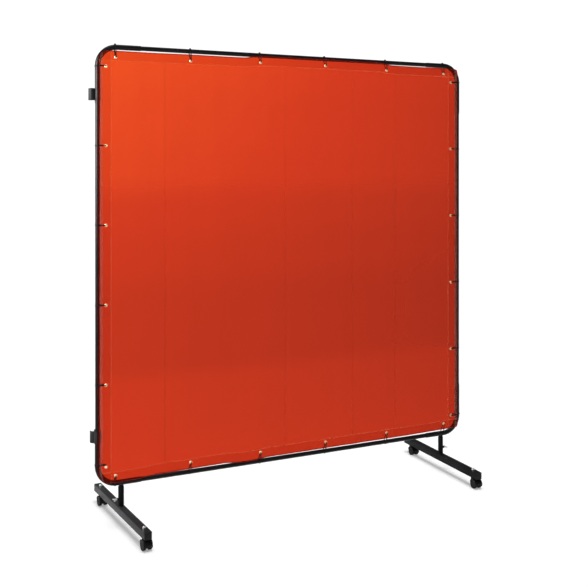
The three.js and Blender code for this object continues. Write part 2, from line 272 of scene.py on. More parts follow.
class Shader:
    """A material whose nodes are added one by one."""

    def __init__(self, name):
        self.material = bpy.data.materials.new(name)
        self.material.use_nodes = True
        self.tree = self.material.node_tree
        self.surface = self.tree.nodes["Principled BSDF"]
        self.output = self.tree.nodes["Material Output"]

    def node(self, kind, **inputs):
        made = self.tree.nodes.new(kind)
        for key, value in inputs.items():
            self.feed(made.inputs[key.replace("_", " ")], value)
        return made

    def feed(self, socket, value):
        if isinstance(value, bpy.types.NodeSocket):
            self.tree.links.new(value, socket)
        else:
            socket.default_value = value

    def set(self, **inputs):
        for key, value in inputs.items():
            self.feed(self.surface.inputs[key.replace("_", " ")], value)

    def position(self):
        return self.node("ShaderNodeTexCoord").outputs["Object"]

    def noise(self, scale, detail=3.0, vector=None, roughness=0.5):
        made = self.node("ShaderNodeTexNoise", Scale=scale, Detail=detail, Roughness=roughness)
        self.feed(made.inputs["Vector"], self.position() if vector is None else vector)
        return made.outputs["Fac"]

    def span(self, value, low, high, from_low=0.0, from_high=1.0):
        """Maps a value that runs between from_low and from_high to one between low and high."""
        made = self.node("ShaderNodeMapRange", Value=value, From_Min=from_low, From_Max=from_high,
                         To_Min=low, To_Max=high)
        return made.outputs["Result"]

    def multiply(self, a, b):
        made = self.tree.nodes.new("ShaderNodeMath")
        made.operation = "MULTIPLY"
        self.feed(made.inputs[0], a)
        self.feed(made.inputs[1], b)
        return made.outputs["Value"]

    def blend(self, factor, a, b):
        made = self.tree.nodes.new("ShaderNodeMix")
        made.data_type = "RGBA"
        self.feed(made.inputs["Factor"], factor)
        self.feed(made.inputs[6], a)
        self.feed(made.inputs[7], b)
        return made.outputs[2]

    def bump(self, height, strength, distance):
        made = self.node("ShaderNodeBump", Strength=strength, Distance=distance, Height=height)
        return made.outputs["Normal"]


def painted(name, dark, light, roughness, grain, gloss):
    """Powder coat: a fine orange-peel surface, a little uneven in gloss, dusty in broad patches."""
    shader = Shader(name)
    patches = shader.noise(9.0, 4.0)
    shader.set(Base_Color=shader.blend(shader.span(patches, 0, 1, 0.35, 0.75), dark, light))
    shader.set(Roughness=shader.span(shader.noise(40.0, 3.0), roughness - 0.06, roughness + 0.1))
    shader.set(Normal=shader.bump(shader.noise(grain, 2.0), 0.12, 0.0004))
    shader.set(Specular_IOR_Level=gloss)
    return shader.material


def moulded(name, dark, light, roughness, gloss):
    """Moulded plastic with a fine spark-eroded texture and slightly lighter scuffs."""
    shader = Shader(name)
    scuffs = shader.span(shader.noise(120.0, 6.0, roughness=0.7), 0, 1, 0.58, 0.78)
    shader.set(Base_Color=shader.blend(scuffs, dark, light))
    shader.set(Roughness=shader.span(shader.noise(60.0), roughness - 0.05, roughness + 0.1))
    shader.set(Normal=shader.bump(shader.noise(MOULD_GRAIN, 2.0), 0.15, 0.0002))
    shader.set(Specular_IOR_Level=gloss)
    return shader.material


def plated(name, colour, dull, roughness):
    """Bright plating with fine polishing streaks and duller patches."""
    shader = Shader(name)
    patches = shader.span(shader.noise(150.0, 4.0), 0, 1, 0.4, 0.7)
    shader.set(Base_Color=shader.blend(patches, colour, dull), Metallic=1.0)
    shader.set(Roughness=shader.span(shader.noise(420.0, 4.0), roughness - 0.06, roughness + 0.12))
    shader.set(Normal=shader.bump(shader.noise(1500.0, 2.0), 0.08, 0.0001))
    return shader.material


def mixed_surface(shader, factor, below, above):
    """Sends a mix of two shaders to the material's surface."""
    mixed = shader.node("ShaderNodeMixShader", Fac=factor)
    shader.feed(mixed.inputs[1], below)
    shader.feed(mixed.inputs[2], above)
    shader.feed(shader.output.inputs["Surface"], mixed.outputs["Shader"])


def thin_layer(name, tint, body, density):
    """A second, clearer layer of film, which tones the sheet that it lies against."""
    shader = Shader(name)
    see = shader.node("ShaderNodeBsdfTransparent", Color=tint)
    roughness = shader.span(shader.noise(80.0), 0.28, 0.4)
    shader.set(Base_Color=body, Roughness=roughness, Specular_IOR_Level=0.3)
    mixed_surface(shader, density, see.outputs["BSDF"], shader.surface.outputs["BSDF"])
    return shader.material


def film_painted_light(shader, mottle):
    """Paleness that paints light and shade on the film: paler towards the top left, darker towards the right
    and darkest about a third of the way up, with faint streaks.
    """
    place_in = shader.node("ShaderNodeSeparateXYZ", Vector=shader.position())

    def up_the_film(foot, head):
        return shader.span(place_in.outputs["Z"], foot, head, FILM_LOW.z, FILM_HIGH.z)

    ramp = shader.node("ShaderNodeValToRGB", Fac=up_the_film(0.0, 1.0))
    ramp.color_ramp.interpolation = "EASE"
    stops = ramp.color_ramp.elements
    for place_on_ramp, value in FILM_PAINTED_LIGHT:
        stop = stops.new(place_on_ramp)
        stop.color = (value, value, value, 1)
    stops.remove(stops[0])
    stops.remove(stops[-1])
    to_left = shader.span(place_in.outputs["X"], 1.0, 0.0, FILM_LOW.x, FILM_HIGH.x)
    left, right = up_the_film(*FILM_LEFT_PAINTED_LIGHT), up_the_film(*FILM_RIGHT_PAINTED_LIGHT)
    painted_light = shader.multiply(ramp.outputs["Color"], shader.span(to_left, right, left))
    return shader.multiply(painted_light, shader.span(mottle, 0.965, 1.035))


def film_material(name, density, glow):
    """Tinted PVC film: mostly see-through, with a coloured body, a soft gloss and calendering streaks."""
    shader = Shader(name)
    streaks = shader.node("ShaderNodeMapping", Scale=(14.0, 14.0, 1.1), Vector=shader.position())
    mottle = shader.noise(1.0, 5.0, vector=streaks.outputs["Vector"], roughness=0.6)
    # painted light and shade: the film's tint is paler top left, darker to the right and a third of the way
    # up
    painted_light = film_painted_light(shader, mottle)
    pale = shader.blend(shader.span(painted_light, 0, 1, 0.72, 1.0), FILM_RED, FILM_ORANGE)
    see = shader.node("ShaderNodeBsdfTransparent", Color=shader.blend(painted_light, FILM_DEEP, pale))
    shader.set(Base_Color=shader.blend(painted_light, FILM_BODY_DEEP, FILM_BODY_PALE))
    shader.set(Roughness=shader.span(mottle, 0.34, 0.46), Specular_IOR_Level=0.08)
    shader.set(Normal=shader.bump(shader.noise(260.0, 2.0), 0.05, 0.0002))
    through = shader.node("ShaderNodeBsdfTranslucent", Color=glow)
    body = shader.node("ShaderNodeMixShader", Fac=0.25)
    shader.feed(body.inputs[1], shader.surface.outputs["BSDF"])
    shader.feed(body.inputs[2], through.outputs["BSDF"])
    mixed_surface(shader, density, see.outputs["BSDF"], body.outputs["Shader"])
    return shader.material


frame_paint = painted("frame_paint", dark=(0.003, 0.003, 0.0035, 1), light=(0.007, 0.007, 0.008, 1),
                      roughness=0.32, grain=700.0, gloss=0.14)
leg_paint = painted("leg_paint", dark=(0.003, 0.003, 0.0035, 1), light=(0.007, 0.007, 0.008, 1),
                    roughness=0.48, grain=700.0, gloss=0.05)
FOOT_PAINT_LIT_AND_SHADED = {  # two copies of one paint: the left foot's is lighter, painted light from the left, the right foot's darker, painted shade
    "left": painted("left_foot_painted_light", dark=(0.012, 0.012, 0.014, 1), light=(0.036, 0.036, 0.04, 1),
                    roughness=0.42, grain=550.0, gloss=0.2),
    "right": painted("right_foot_painted_shade", dark=(0.005, 0.005, 0.006, 1), light=(0.014, 0.014, 0.016, 1),
                     roughness=0.45, grain=550.0, gloss=0.06),
}
weld_paint = painted("weld_paint", dark=(0.006, 0.006, 0.007, 1), light=(0.014, 0.014, 0.015, 1),
                     roughness=0.45, grain=900.0, gloss=0.35)
coupler_nylon = moulded("coupler_nylon", dark=(0.009, 0.009, 0.01, 1), light=(0.035, 0.035, 0.037, 1),
                        roughness=0.45, gloss=0.25)
cap_plastic = moulded("cap_plastic", dark=(0.008, 0.008, 0.009, 1), light=(0.03, 0.03, 0.032, 1),
                      roughness=0.5, gloss=0.15)
hood_plastic = moulded("hood_plastic", dark=(0.004, 0.004, 0.0045, 1), light=(0.016, 0.016, 0.017, 1),
                       roughness=0.35, gloss=0.12)
wheel_plastic = moulded("wheel_plastic", dark=(0.005, 0.005, 0.0055, 1), light=(0.022, 0.022, 0.021, 1),
                        roughness=0.45, gloss=0.1)
tie_nylon = moulded("tie_nylon", dark=(0.003, 0.003, 0.0035, 1), light=(0.008, 0.008, 0.009, 1),
                    roughness=0.5, gloss=0.1)
zinc = plated("zinc", colour=(0.72, 0.74, 0.76, 1), dull=(0.55, 0.55, 0.53, 1), roughness=0.28)
brass = plated("brass", colour=(0.85, 0.52, 0.29, 1), dull=(0.55, 0.32, 0.17, 1), roughness=0.38)
film = film_material("film", density=0.25, glow=(0.75, 0.07, 0.025, 1))
hem_film = thin_layer("hem_film", tint=(0.95, 0.86, 0.8, 1), body=(0.4, 0.03, 0.015, 1), density=0.05)
seam_film = thin_layer("seam_film", tint=(1.0, 0.95, 0.9, 1), body=(1.0, 0.32, 0.12, 1), density=0.13)
# painted shade: a darker layer of film laid along the fold lines
crease_shade_film = thin_layer("crease_shade_film", tint=(0.93, 0.85, 0.8, 1), body=(0.8, 0.15, 0.06, 1), density=0.04)
side_fold_film = thin_layer("side_fold_film", tint=(0.84, 0.78, 0.74, 1), body=(0.66, 0.4, 0.34, 1),
                            density=0.14)
fold_film = thin_layer("fold_film", tint=(0.72, 0.4, 0.35, 1), body=(0.35, 0.03, 0.02, 1), density=0.25)


# ---- Tubes of the frame -------------------------------------------------------------------------

ARC_STEPS = 24  # along a bend
LEG_SIDES = 48
SADDLE_BEAD = 1.7 * MM  # radius of a weld between leg and bend
SOCKET_BEAD = 1.4 * MM  # radius of a weld between socket and foot


def straight_path(start, end):
    tangent = (end - start).normalized()
    return [(start, tangent), (end, tangent)]


def straight_tube_path(node):
    along = Vector((1, 0, 0)) if "rail" in node else Vector((0, 0, 1))
    low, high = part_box(node)
    half = (high - low).dot(along) / 2
    return straight_path(middle_of(node) - half * along, middle_of(node) + half * along)


def bend_path(node):
    """From the open end on the upright's side, round the corner, to the open end on the rail's side."""
    low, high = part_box(node)
    right, top = "right" in node, "top" in node
    side = 1 if right else -1
    rise = 1 if top else -1
    centre = Vector((high.x - BEND_REACH if right else low.x + BEND_REACH, TUBE_Y,
                     high.z - BEND_REACH if top else low.z + BEND_REACH))
    on_upright = Vector((centre.x + side * CORNER_RADIUS, TUBE_Y, low.z if top else high.z))
    on_rail = Vector((low.x if right else high.x, TUBE_Y, centre.z + rise * CORNER_RADIUS))
    path = [(on_upright, Vector((0, 0, rise)))]
    for step in range(ARC_STEPS + 1):
        angle = math.pi / 2 * step / ARC_STEPS
        point = centre + CORNER_RADIUS * Vector((side * math.cos(angle), 0, rise * math.sin(angle)))
        path.append((point, Vector((-side * math.sin(angle), 0, rise * math.cos(angle)))))
    path.append((on_rail, Vector((-side, 0, 0))))
    return path


def make_frame_tubes():
    """The tubes round the film. Like the film, they cast no shadow on the floor."""
    walls = {node: pipe_wall(bend_path(node), BEND_RADIUS, BEND_WALL) for node in BENDS}
    for node in STRAIGHTS:
        walls[node] = pipe_wall(straight_tube_path(node), STRAIGHT_RADIUS, STRAIGHT_WALL)
    for node, (verts, faces) in walls.items():
        tube = stand_for(new_piece(f"{node}_tube", verts, faces, frame_paint), node)
        tube.visible_shadow = False


def weld_bead(name, radius, at, bead, height_at):
    """A rippled bead round a tube, its height following what it is welded to."""
    around, section = 72, 8
    verts = []
    for k in range(around):
        angle = 2 * math.pi * k / around
        ripple = bead * (1 + 0.16 * math.sin(24 * angle) + 0.12 * math.sin(7 * angle + 1))
        out = Vector((math.cos(angle), math.sin(angle), 0))
        centre = at + radius * out + Vector((0, 0, height_at(radius * out)))
        for m in range(section):
            turn = 2 * math.pi * m / section
            verts.append(centre + ripple * (math.cos(turn) * out + Vector((0, 0, math.sin(turn)))))
    return new_piece(name, verts, rings_to_faces(around, section), weld_paint, smooth_angle=80)


def bend_underside(across):
    """Height of a bend's underside from its centre line, at a distance across it."""
    return -math.sqrt(BEND_RADIUS ** 2 - across ** 2)


def make_legs():
    """Round legs, saddled to the bends above, with a weld bead at the saddle and another round the
    socket's foot."""
    for side in SIDES:
        node = f"{side}_leg"
        low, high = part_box(node)
        middle = middle_of(node)
        saddle_at = Vector((middle.x, middle.y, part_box(f"bottom_{side}_bend")[0].z + BEND_RADIUS))
        path = straight_path(Vector((middle.x, middle.y, low.z)), Vector((middle.x, middle.y, high.z)))
        verts, faces = pipe_wall(path, STRAIGHT_RADIUS, STRAIGHT_WALL, LEG_SIDES)
        for vert in verts:
            if vert.z > middle.z:
                vert.z = saddle_at.z + bend_underside(vert.y - middle.y)
        stand_for(new_piece(f"{node}_tube", verts, faces, leg_paint), node)
        weld = weld_bead(f"{side}_leg_weld", STRAIGHT_RADIUS, saddle_at, SADDLE_BEAD,
                         lambda out: bend_underside(out.y))
        place(weld, "frame")
        socket_low, socket_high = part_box(f"{side}_leg_socket")
        socket_at = Vector((middle.x, middle.y, socket_low.z))
        weld = weld_bead(f"{side}_socket_weld", (socket_high.x - socket_low.x) / 2, socket_at, SOCKET_BEAD,
                         lambda out: 0.0)
        place(weld, f"{side}_foot")


# ---- Film ---------------------------------------------------------------------------------------

def row_places(first, last):
    return [first + (last - first) * k / (EYELETS_PER_SIDE - 1) for k in range(EYELETS_PER_SIDE)]


ROW_X = row_places(FILM_LOW.x + EYELET_END["left"], FILM_HIGH.x - EYELET_END["right"])
COLUMN_Z = row_places(FILM_LOW.z + EYELET_END["bottom"], FILM_HIGH.z - EYELET_END["top"])
LEVEL_OF = {"top": FILM_HIGH.z - EYELET_INSET["top"], "bottom": FILM_LOW.z + EYELET_INSET["bottom"]}
ACROSS_OF = {"left": FILM_LOW.x + EYELET_INSET["left"], "right": FILM_HIGH.x - EYELET_INSET["right"]}
EYELETS = [(x, level, row, number) for row, level in LEVEL_OF.items() for number, x in enumerate(ROW_X, 1)]
EYELETS += [(across, z, row, number) for row, across in ACROSS_OF.items()
            for number, z in enumerate(COLUMN_Z, 1)]

LEVEL_FOLD_WIDTH = 5 * MM  # rolled edge of a level hem
SIDE_FOLD_WIDTH = 13 * MM  # turned and pressed edge of a side hem
LEFT_FOLD = 15 * MM  # film's edge to the middle of the turned edge
RIGHT_FOLD = 12 * MM
STRIP_END = 2 * MM  # film's edge to the end of a seam or a turned side
PATCH = 24 * MM  # square of film round an eyelet that is meshed as a ring
PATCH_HALF_CELLS = 2  # grid cells from a patch's middle to its side
CELL = 9 * MM
SAME_LINE = 0.2 * MM  # grid lines closer than this become one

# How far in from the nearest edge the film's slack, its pull towards the ties and its uneven edge reach
SLACK_REACH = 160 * MM
PULL_REACH = 70 * MM
EDGE_REACH = 110 * MM
# Depths of the film's shape
RIPPLE = 2.6 * MM
BROAD_RIPPLE = 4.0 * MM
FINE_RIPPLE = 0.5 * MM
CREASE_RIDGE = 1.5 * MM
CREASE_BED = 0.8 * MM
BOW = 1.6 * MM  # of an edge towards the front, half way between two ties
BOTTOM_BOW = 3.2 * MM
PUCKER = 1.2 * MM
EDGE_SCALLOP = 1.0 * MM  # of a level edge, half way between two ties
SIDE_SCALLOP = 1.5 * MM
# Fold lines left by packing: (metres right of the middle, strength)
CREASES = ((-0.607, 0.9), (-0.052, 0.7), (0.29, 0.35), (0.52, 0.6))

# How far the film's level edges stand in from their mean line: (share of the width, distance), left to right
TOP_EDGE = ((0.0, 5 * MM), (0.36, 3 * MM), (0.42, -9 * MM), (0.74, -9 * MM), (0.79, 2 * MM), (1.0, 2 * MM))
BOTTOM_EDGE = ((0.0, -16 * MM), (0.08, -15 * MM), (0.15, -5 * MM), (0.31, -2 * MM), (0.37, -12 * MM),
               (0.43, -3 * MM), (0.8, -1 * MM), (1.0, 3 * MM))
CORNER_INSET = 3 * MM  # outside of a bend to the film's rounded corner
CORNER_PROUD = 4 * MM  # how far the top right corner stands out past its bend
CORNER_SOFT = 0.75  # share of a bend's reach inside which the film keeps its place


def along_edge(shape, share):
    share = min(max(share, 0.0), 1.0)
    for (start, before), (end, after) in zip(shape, shape[1:]):
        if share <= end:
            t = (share - start) / (end - start)
            return before + (after - before) * t * t * (3 - 2 * t)
    return shape[-1][1]


def round_corner(x, z):
    """Draws the film's corners in along the bends. The top right one is left a little proud of its bend."""
    right, top = x > MIDDLE_X, z > MIDDLE_Z
    centre_x = FRAME_HIGH.x - BEND_REACH if right else FRAME_LOW.x + BEND_REACH
    centre_z = FRAME_HIGH.z - BEND_REACH if top else FRAME_LOW.z + BEND_REACH
    across, up = abs(x - centre_x), abs(z - centre_z)
    outside = (x > centre_x) == right and (z > centre_z) == top
    distance = math.hypot(across, up)
    soft = CORNER_SOFT * BEND_REACH
    if not outside or distance <= soft:
        return x, z
    room = BEND_REACH + (CORNER_PROUD if right and top else -CORNER_INSET) - soft
    held = soft + room * math.tanh((distance - soft) / room)
    on_diagonal = (2 * across * up / distance ** 2) ** 1.5
    scale = 1 + on_diagonal * (held / distance - 1)
    return centre_x + (x - centre_x) * scale, centre_z + (z - centre_z) * scale


def gathered(place_along, places):
    """0 at a tie, 1 half way between two."""
    pitch = places[1] - places[0]
    phase = (place_along - places[0]) / pitch
    return 0.5 - 0.5 * math.cos(2 * math.pi * phase)


def film_point(x, z, lift=0.0):
    """Where a point of the flat film lies once it is tied up: slack between ties, soft upright ripples,
    fold lines left by packing, and puckers that run in from the ties."""
    to_top, to_bottom = FILM_HIGH.z - z, z - FILM_LOW.z
    to_left, to_right = x - FILM_LOW.x, FILM_HIGH.x - x
    inside = min(to_top, to_bottom, to_left, to_right)
    free = 1 - math.exp(-inside / SLACK_REACH)
    drape = noise.noise(Vector((x * 3.1, 4.7, z * 0.8)))
    broad = noise.noise(Vector((x * 1.3, 9.1, z * 1.1)))
    fine = noise.noise(Vector((x * 11.0, 2.3, z * 2.1)))
    y = FILM_Y - free * (RIPPLE * drape + BROAD_RIPPLE * broad + FINE_RIPPLE * fine)
    for place_x, strength in CREASES:
        off = x - MIDDLE_X - place_x - 0.006 * noise.noise(Vector((place_x, 0, z * 1.7)))
        wander = 0.55 + 0.45 * noise.noise(Vector((place_x * 7, 5, z * 2.3)))
        y -= CREASE_RIDGE * strength * wander * math.exp(-(off / 0.011) ** 2)
        y += CREASE_BED * strength * wander * math.exp(-(off / 0.045) ** 2)
    between_x, between_z = gathered(x, ROW_X), gathered(z, COLUMN_Z)
    top_pull = between_x * math.exp(-to_top / PULL_REACH)
    bottom_pull = between_x * math.exp(-to_bottom / PULL_REACH)
    left_pull = between_z * math.exp(-to_left / PULL_REACH)
    right_pull = between_z * math.exp(-to_right / PULL_REACH)
    y -= BOW * (top_pull + left_pull + right_pull) + BOTTOM_BOW * bottom_pull
    puckers = ((top_pull, x, 1.0), (bottom_pull, x, 2.0), (left_pull, z, 3.0), (right_pull, z, 4.0))
    for pull, along, seed in puckers:
        y -= PUCKER * pull * noise.noise(Vector((along * 26.0, seed, 0.5)))
    share = (x - FILM_LOW.x) / (FILM_HIGH.x - FILM_LOW.x)
    dz = (along_edge(BOTTOM_EDGE, share) + EDGE_SCALLOP * bottom_pull) * math.exp(-to_bottom / EDGE_REACH)
    dz -= (along_edge(TOP_EDGE, share) + EDGE_SCALLOP * top_pull) * math.exp(-to_top / EDGE_REACH)
    dx = SIDE_SCALLOP * (left_pull - right_pull)
    x, z = round_corner(x + dx, z + dz)
    return Vector((x, y + lift, z))


def grid_lines(low, high, centres, extra):
    """Lines across the film at its edges, hems and eyelet patches, and between them no wider than a cell."""
    lines = {low, high, *extra}
    step = PATCH / 2 / PATCH_HALF_CELLS
    for centre in centres:
        lines.update(centre + step * k for k in range(-PATCH_HALF_CELLS, PATCH_HALF_CELLS + 1))
    lines = sorted(lines)
    lines = [line for n, line in enumerate(lines) if n == 0 or line - lines[n - 1] > SAME_LINE]
    filled = [lines[0]]
    for line in lines[1:]:
        gap = line - filled[-1]
        steps = max(1, math.ceil(gap / CELL))
        start = filled[-1]
        filled += [start + gap * k / steps for k in range(1, steps + 1)]
    return filled


HEM_X = (FILM_LOW.x + SIDE_HEM, FILM_HIGH.x - SIDE_HEM)
HEM_Z = (FILM_LOW.z + LEVEL_HEM, FILM_HIGH.z - LEVEL_HEM)
LINES_X = grid_lines(FILM_LOW.x, FILM_HIGH.x, ROW_X + list(ACROSS_OF.values()), HEM_X)
LINES_Z = grid_lines(FILM_LOW.z, FILM_HIGH.z, COLUMN_Z + list(LEVEL_OF.values()), HEM_Z)


def nearest(lines, place_along):
    return min(range(len(lines)), key=lambda n: abs(lines[n] - place_along))


def patch_rim():
    """Grid steps from an eyelet to the corners round its patch, in order."""
    half = PATCH_HALF_CELLS
    steps = range(-half, half)
    rim = [(k, -half) for k in steps] + [(half, k) for k in steps]
    return rim + [(-k, half) for k in steps] + [(-half, -k) for k in steps]


def film_layer(name, wanted, material, lift=0.0):
    """A layer of film over the grid cells whose middles are wanted, with a round hole at every eyelet."""
    verts, faces, index = [], [], {}
    rim = patch_rim()

    def corner(i, j):
        if (i, j) not in index:
            index[i, j] = len(verts)
            verts.append(film_point(LINES_X[i], LINES_Z[j], lift))
        return index[i, j]

    def in_patch(x, z):
        return any(abs(x - ex) < PATCH / 2 and abs(z - ez) < PATCH / 2 for ex, ez, *_ in EYELETS)

    for i in range(len(LINES_X) - 1):
        for j in range(len(LINES_Z) - 1):
            x = (LINES_X[i] + LINES_X[i + 1]) / 2
            z = (LINES_Z[j] + LINES_Z[j + 1]) / 2
            if wanted(x, z) and not in_patch(x, z):
                faces.append((corner(i, j), corner(i + 1, j), corner(i + 1, j + 1), corner(i, j + 1)))
    for ex, ez, *_ in EYELETS:
        if not wanted(ex, ez):
            continue
        i0, j0 = nearest(LINES_X, ex), nearest(LINES_Z, ez)
        outer = [corner(i0 + a, j0 + b) for a, b in rim]
        inner = []
        for a, b in rim:
            reach = Vector((a, 0, b)).normalized() * EYELET_HOLE
            inner.append(len(verts))
            verts.append(film_point(ex + reach.x, ez + reach.z, lift))
        for k in range(len(rim)):
            m = (k + 1) % len(rim)
            faces.append((outer[k], outer[m], inner[m], inner[k]))
    return new_piece(name, verts, faces, material, smooth_angle=60)


STRIP_STEPS = 160
STRIP_SECTION = ((-1, 0.35), (-0.55, 1.0), (0.55, 1.0), (1, 0.35))  # (share of the half width, of the lift)


def strip_layer(name, lines, material, lift, half_width):
    """Narrow raised strips along straight lines of the film: welded seams, turned edges, and darker strips
    of painted shade along the fold lines.
    """
    meshes = []
    for (x0, z0), (x1, z1) in lines:
        along = Vector((x1 - x0, 0, z1 - z0)).normalized()
        side = Vector((-along.z, 0, along.x)) * half_width
        verts = []
        for k in range(STRIP_STEPS + 1):
            x = x0 + (x1 - x0) * k / STRIP_STEPS
            z = z0 + (z1 - z0) * k / STRIP_STEPS
            for share, proud in STRIP_SECTION:
                verts.append(film_point(x + share * side.x, z + share * side.z, lift * proud))
        faces = []
        per_row = len(STRIP_SECTION)
        for k in range(STRIP_STEPS):
            for m in range(per_row - 1):
                a = per_row * k + m
                faces.append((a, a + 1, a + per_row + 1, a + per_row))
        meshes.append((verts, faces))
    verts, faces = joined(*meshes)
    return new_piece(name, verts, faces, material, smooth_angle=60)


def in_side_hem(x, z):
    return x < HEM_X[0] or x > HEM_X[1]


def in_level_hem(x, z):
    return z < HEM_Z[0] or z > HEM_Z[1]


def upright_lines(places, end):
    """From end above the film's foot to end below its head."""
    return [((x, FILM_LOW.z + end), (x, FILM_HIGH.z - end)) for x in places]


def level_lines(places, end):
    return [((FILM_LOW.x + end, z), (FILM_HIGH.x - end, z)) for z in places]


def make_film():
    """The sheet and what lies on it. Hems lie behind it; seams, turned edges and strips of painted shade
    along the fold lines lie in front.
    """
    sheet = stand_for(film_layer("curtain_film", lambda x, z: True, film), "curtain")
    seams = upright_lines(HEM_X, STRIP_END) + level_lines(HEM_Z, STRIP_END)
    inset = LEVEL_FOLD_WIDTH / 2
    level_folds = level_lines((FILM_LOW.z + inset, FILM_HIGH.z - inset), 0)
    side_folds = upright_lines((FILM_LOW.x + LEFT_FOLD, FILM_HIGH.x - RIGHT_FOLD), STRIP_END)
    creases = upright_lines([MIDDLE_X + place_x for place_x, _ in CREASES], LEVEL_HEM)
    hems = [
        film_layer("curtain_level_hems", in_level_hem, hem_film, lift=0.35 * MM),
        film_layer("curtain_side_hems", in_side_hem, hem_film, lift=0.7 * MM),
        strip_layer("curtain_seams", seams, seam_film, lift=-0.45 * MM, half_width=2.2 * MM),
        strip_layer("curtain_level_folds", level_folds, fold_film, lift=-0.6 * MM, half_width=inset),
        strip_layer("curtain_side_folds", side_folds, side_fold_film, lift=-0.6 * MM,
                    half_width=SIDE_FOLD_WIDTH / 2),
        # strips of painted shade along the fold lines
        strip_layer("curtain_creases", creases, crease_shade_film, lift=-0.3 * MM, half_width=2.5 * MM),
    ]
    for layer in [sheet, *hems]:
        layer.visible_shadow = False
        layer.visible_diffuse = False
    for hem in hems:
        place(hem, "frame")
    return sheet, hems


# ---- Eyelets and ties ---------------------------------------------------------------------------

EYELET_PROFILE = [(radius * MM, height * MM) for radius, height in (
    (3.2, -1.6), (3.8, -2.0), (4.9, -1.9), (6.0, -1.2), (6.7, -0.35), (6.5, -0.1), (3.5, -0.15),
    (3.4, 1.0), (6.0, 1.05), (6.2, 1.3), (5.9, 1.6), (4.2, 1.9), (3.3, 1.7))]
EYELET_PROFILE += [(EYELET_BORE, 0.5 * MM), (EYELET_BORE, -1.1 * MM)]
EYELET_SIDES = 40

TIE_GAP = 0.15 * MM  # strap to tube
TIE_STEPS = 5  # of the smoothed loop, for each point of its path
TIE_LEAN = 1.6 * MM  # most that a strap runs askew round the tube
TIE_HEAD = (6.4 * MM, 3.6 * MM, 5.6 * MM)
TIE_TAIL = (TIE_WIDTH - 0.5 * MM, TIE_THICKNESS, 4 * MM)
# Where a tie's head sits, in degrees round the tube from the front: (least, most)
HEAD_TURN = {"top": (60, 100), "bottom": (135, 165), "left": (185, 215), "right": (120, 160)}
TOWARDS_FRONT = Vector((0, -1, 0))
INWARD = {"top": Vector((0, 0, -1)), "bottom": Vector((0, 0, 1)), "left": Vector((1, 0, 0)),
          "right": Vector((-1, 0, 0))}
FRAME_BOUND = {"top": FRAME_HIGH.z, "bottom": FRAME_LOW.z, "left": FRAME_LOW.x, "right": FRAME_HIGH.x}
FILM_BOUND = {"top": FILM_HIGH.z, "bottom": FILM_LOW.z, "left": FILM_LOW.x, "right": FILM_HIGH.x}


def make_eyelets():
    """Brass eyelets: a domed flange in front, a rolled one behind, and the barrel between them."""
    pieces = []
    for x, z, row, number in EYELETS:
        at = Matrix.Translation(film_point(x, z)) @ Matrix.Rotation(-math.pi / 2, 4, "X")
        verts, faces = lathe(EYELET_PROFILE, EYELET_SIDES, at)
        piece = new_piece(f"{row}_eyelet_{number}", verts, faces, brass, smooth_angle=50)
        pieces.append(place(piece, "frame"))
    return pieces


def tie_path(tube_radius, eyelet_reach, film_reach, film_edge):
    """The strap's loop in a plane across the tube, as (towards the eyelet, towards the front) from the
    tube's axis: out of the eyelet, over the film's edge, round the tube and back from behind."""
    hug = tube_radius + TIE_THICKNESS / 2 + TIE_GAP
    hole = eyelet_reach - EYELET_BORE + 1.5 * TIE_THICKNESS
    front = film_reach + 3.0 * MM
    path = [(hole + 0.5 * MM, film_reach - 1 * MM),
            (hole + 0.3 * MM, front - 0.6 * MM),
            (hole - 3 * MM, front + 0.6 * MM),
            ((hole + film_edge) / 2 - 1 * MM, film_reach + 1.8 * MM),
            (film_edge - 1 * MM, film_reach + 0.9 * MM)]
    meets_tube_at = 8 if film_edge > 8 * MM else 42  # degrees; later where the film covers the tube
    for angle in range(meets_tube_at, 196, 17):
        turn = math.radians(angle)
        path.append((-hug * math.sin(turn), hug * math.cos(turn)))
    back = path[-1]
    path.append(((back[0] + hole) / 2, (back[1] + film_reach - 4 * MM) / 2 - 0.6 * MM))
    path.append((hole - 1.5 * MM, film_reach - 4.6 * MM))
    return path, hug


def make_tie(name, x, z, row, tube_radius, lean, tilt):
    """A strap through the eyelet and round the tube, its head outside the tube, its tail cut short."""
    inward = INWARD[row]
    width_axis = Vector((1, 0, 0)) if inward.x == 0 else Vector((0, 0, 1))
    film_at = film_point(x, z)
    film_inset = abs(FILM_BOUND[row] - FRAME_BOUND[row])
    eyelet_reach = film_inset + EYELET_INSET[row] - BEND_RADIUS
    axis_at = Vector((x, TUBE_Y, z)) - inward * eyelet_reach
    eyelet_reach += (film_at - Vector((x, film_at.y, z))).dot(inward)
    path, hug = tie_path(tube_radius, eyelet_reach, TUBE_Y - film_at.y, film_inset - BEND_RADIUS)
    points = [axis_at + u * inward + v * TOWARDS_FRONT + width_axis * lean * max(0.0, -u / hug)
              for u, v in path]
    strap = strap_loop(smooth_loop(points, TIE_STEPS), width_axis, TIE_WIDTH, TIE_THICKNESS)
    out = -math.sin(tilt) * inward + math.cos(tilt) * TOWARDS_FRONT
    tangent = width_axis.cross(out).normalized()
    basis = Matrix((width_axis, out, tangent)).transposed().to_4x4()
    head_at = axis_at + width_axis * lean + out * (hug + 1.5 * MM)
    head = box_mesh(TIE_HEAD, Matrix.Translation(head_at) @ basis)
    tail_at = head_at + out * 0.7 * MM + tangent * 4.2 * MM
    tail = box_mesh(TIE_TAIL, Matrix.Translation(tail_at) @ basis)
    strap_piece = new_piece(name, *strap, tie_nylon, smooth_angle=50)
    head_piece = new_piece(f"{name}_head", *joined(head, tail), tie_nylon, smooth_angle=50)
    add_bevel(head_piece, 0.7 * MM, 2)
    return [place(piece, "frame") for piece in (strap_piece, head_piece)]


